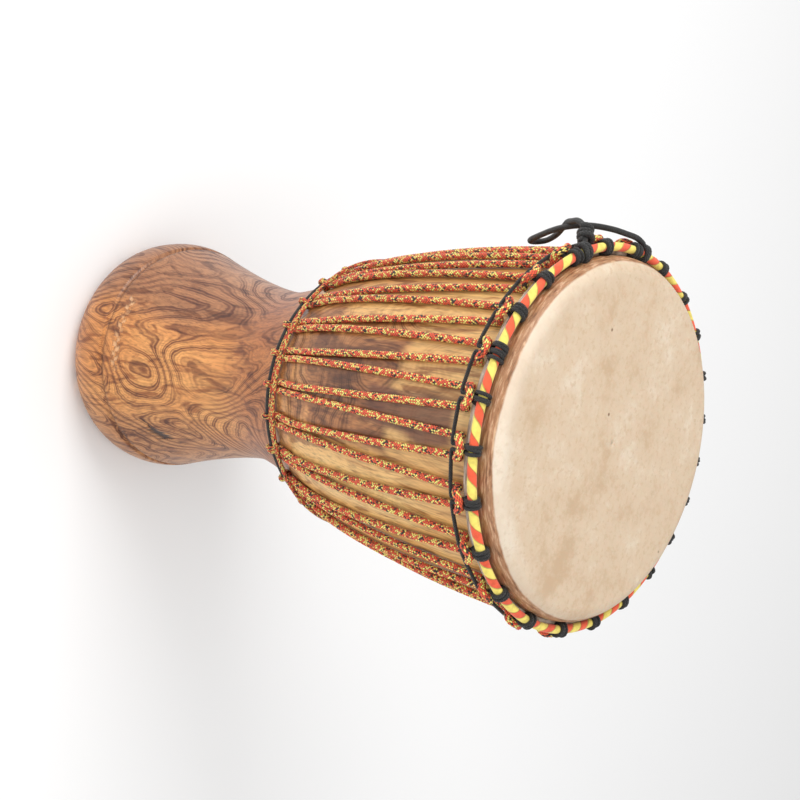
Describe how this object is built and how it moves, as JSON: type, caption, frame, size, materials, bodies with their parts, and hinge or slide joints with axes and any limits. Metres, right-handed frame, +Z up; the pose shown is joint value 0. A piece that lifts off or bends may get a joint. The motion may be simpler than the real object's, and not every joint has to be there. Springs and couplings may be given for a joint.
{
  "type": "djembe",
  "caption": "Rope-tuned goblet hand drum: a carved one-piece wooden shell with a goat skin held by a cloth-wrapped crown ring, looped cord and zigzag tension rope.",
  "frame": {"origin": "centre of the foot's resting face", "axes": "+Z up along the drum's axis, from the foot to the playing skin; -Y towards the side with the carved zigzag; the carry cord hangs on the -X side"},
  "size_m": [0.284, 0.2786, 0.5],
  "materials": {
    "wood": "oiled, satin, with a strong dark and honey figure",
    "skin": "shaved goat skin, matte and slightly translucent",
    "steel": "plain round bar, welded into a ring",
    "yellow_cloth": "plain cotton strip, matte",
    "red_cloth": "plain cotton strip, matte",
    "black_cord": "braided nylon cord, slight sheen",
    "braided_rope": "braided polyester rope in red, yellow and near-black strands",
    "black_tape": "cotton tape, matte"
  },
  "bodies": {
    "root": {"shell": "wood", "drum_skin": "skin", "flesh_hoop": "steel", "crown_ring": "steel", "crown_wrap_yellow": "yellow_cloth", "crown_wrap_red": "red_cloth", "crown_hitches": "black_cord", "crown_loops": "black_cord", "tension_rope": "braided_rope", "rope_end_knot": "braided_rope", "waist_ring": "steel", "waist_wrap": "black_tape", "waist_hitches": "braided_rope", "waist_lashing": "braided_rope", "carry_hitches": "black_cord", "carry_cord": "black_cord", "carry_knot": "black_cord"}
  },
  "joints": []
}
